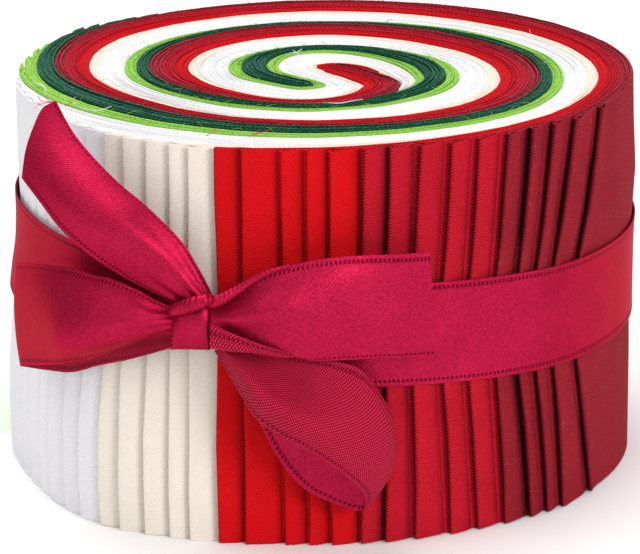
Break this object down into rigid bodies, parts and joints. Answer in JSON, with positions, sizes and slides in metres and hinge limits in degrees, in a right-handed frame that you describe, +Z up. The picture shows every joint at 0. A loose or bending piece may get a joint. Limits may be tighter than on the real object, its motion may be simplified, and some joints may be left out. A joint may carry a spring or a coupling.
{
  "type": "jelly roll fabric strips",
  "caption": "Long cotton quilting strips in seven colours, folded, stacked and wound into a drum, tied round the middle with a satin ribbon and bow.",
  "frame": {"origin": "on the roll's axis, in the plane it stands on", "axes": "+Z up along the roll's axis; -Y faces the viewer, where the strips end and the bow is tied; +X to the viewer's right"},
  "size_m": [0.1065, 0.1142, 0.0687],
  "materials": {
    "strips_green": "matt twill cotton with soft frayed edges",
    "strips_lime": "matt twill cotton with soft frayed edges",
    "strips_white": "matt twill cotton with soft frayed edges",
    "strips_cream": "matt twill cotton with soft frayed edges",
    "strips_red": "matt twill cotton with soft frayed edges",
    "strips_crimson": "matt twill cotton with soft frayed edges",
    "strips_dark_red": "matt twill cotton with soft frayed edges",
    "ribbon_belt": "satin ribbon, glossy outside and matt inside",
    "bow_knot": "satin ribbon, glossy outside and matt inside",
    "bow_left_loop": "satin ribbon, glossy outside and matt inside",
    "bow_right_loop": "satin ribbon, glossy outside and matt inside",
    "bow_left_tail": "satin ribbon, glossy outside and matt inside",
    "bow_right_tail": "satin ribbon, glossy outside and matt inside"
  },
  "bodies": {
    "root": {"strips_green": "strips_green", "strips_lime": "strips_lime", "strips_white": "strips_white", "strips_cream": "strips_cream", "strips_red": "strips_red", "strips_crimson": "strips_crimson", "strips_dark_red": "strips_dark_red", "ribbon_belt": "ribbon_belt", "bow_knot": "bow_knot", "bow_left_loop": "bow_left_loop", "bow_right_loop": "bow_right_loop", "bow_left_tail": "bow_left_tail", "bow_right_tail": "bow_right_tail"}
  },
  "joints": []
}
